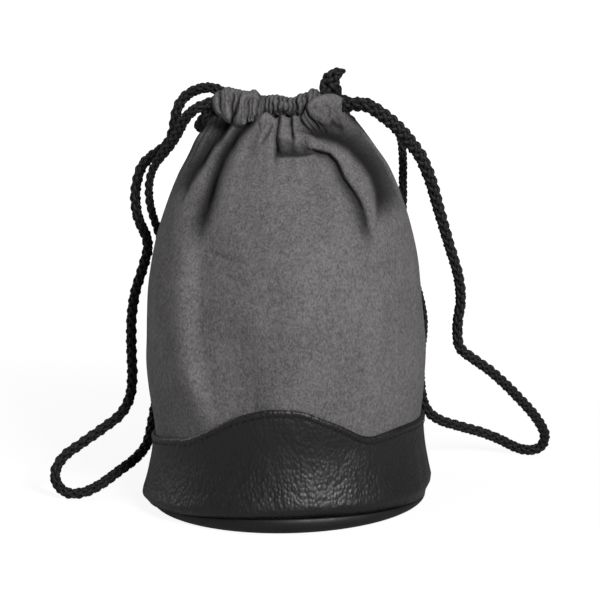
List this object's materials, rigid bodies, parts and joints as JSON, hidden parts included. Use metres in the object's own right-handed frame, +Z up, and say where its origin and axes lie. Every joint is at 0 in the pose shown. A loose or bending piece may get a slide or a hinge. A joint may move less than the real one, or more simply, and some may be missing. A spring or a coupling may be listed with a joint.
{
  "type": "drawstring lens pouch",
  "caption": "Soft suede drawstring pouch for a camera lens, with a padded round leather base, a wavy leather band and cord loops that pull the gathered mouth shut from both sides.",
  "frame": {"origin": "middle of the base on the floor that the pouch stands on", "axes": "+Z up from the base to the mouth, -Y towards the front of the pouch, +X to the right seen from the front, along the drawstring tunnels"},
  "size_m": [0.2082, 0.1339, 0.1781],
  "materials": {
    "suede": "matt grey suede with a short nap",
    "band_leather": "dark grey grained leather with a soft sheen",
    "base_leather": "near-black smooth leather",
    "cord": "black braided cord",
    "board": "plain fibre board",
    "foam": "closed-cell foam",
    "lining": "soft woven lining"
  },
  "bodies": {
    "pouch": {"bottom_panel": "base_leather", "base_board": "board", "base_foam": "foam", "base_lining": "lining", "front_band": "band_leather", "rear_band": "band_leather", "band_foam": "foam", "front_panel": "suede", "rear_panel": "suede", "front_casing": "suede", "rear_casing": "suede", "left_bight": "cord", "right_bight": "cord"},
    "left_drawstring": {"left_cord_front": "cord", "left_cord_rear": "cord", "left_knot": "cord"},
    "right_drawstring": {"right_cord": "cord", "right_cord_stub": "cord", "right_knot": "cord", "right_tail_long": "cord", "right_tail_short": "cord"}
  },
  "joints": [
    {"name": "left_drawstring_pull", "type": "slide", "parent": "pouch", "child": "left_drawstring", "axis": [-1, 0, 0], "range_m": [0, 0.03]},
    {"name": "right_drawstring_pull", "type": "slide", "parent": "pouch", "child": "right_drawstring", "axis": [1, 0, 0], "range_m": [0, 0.03]}
  ]
}
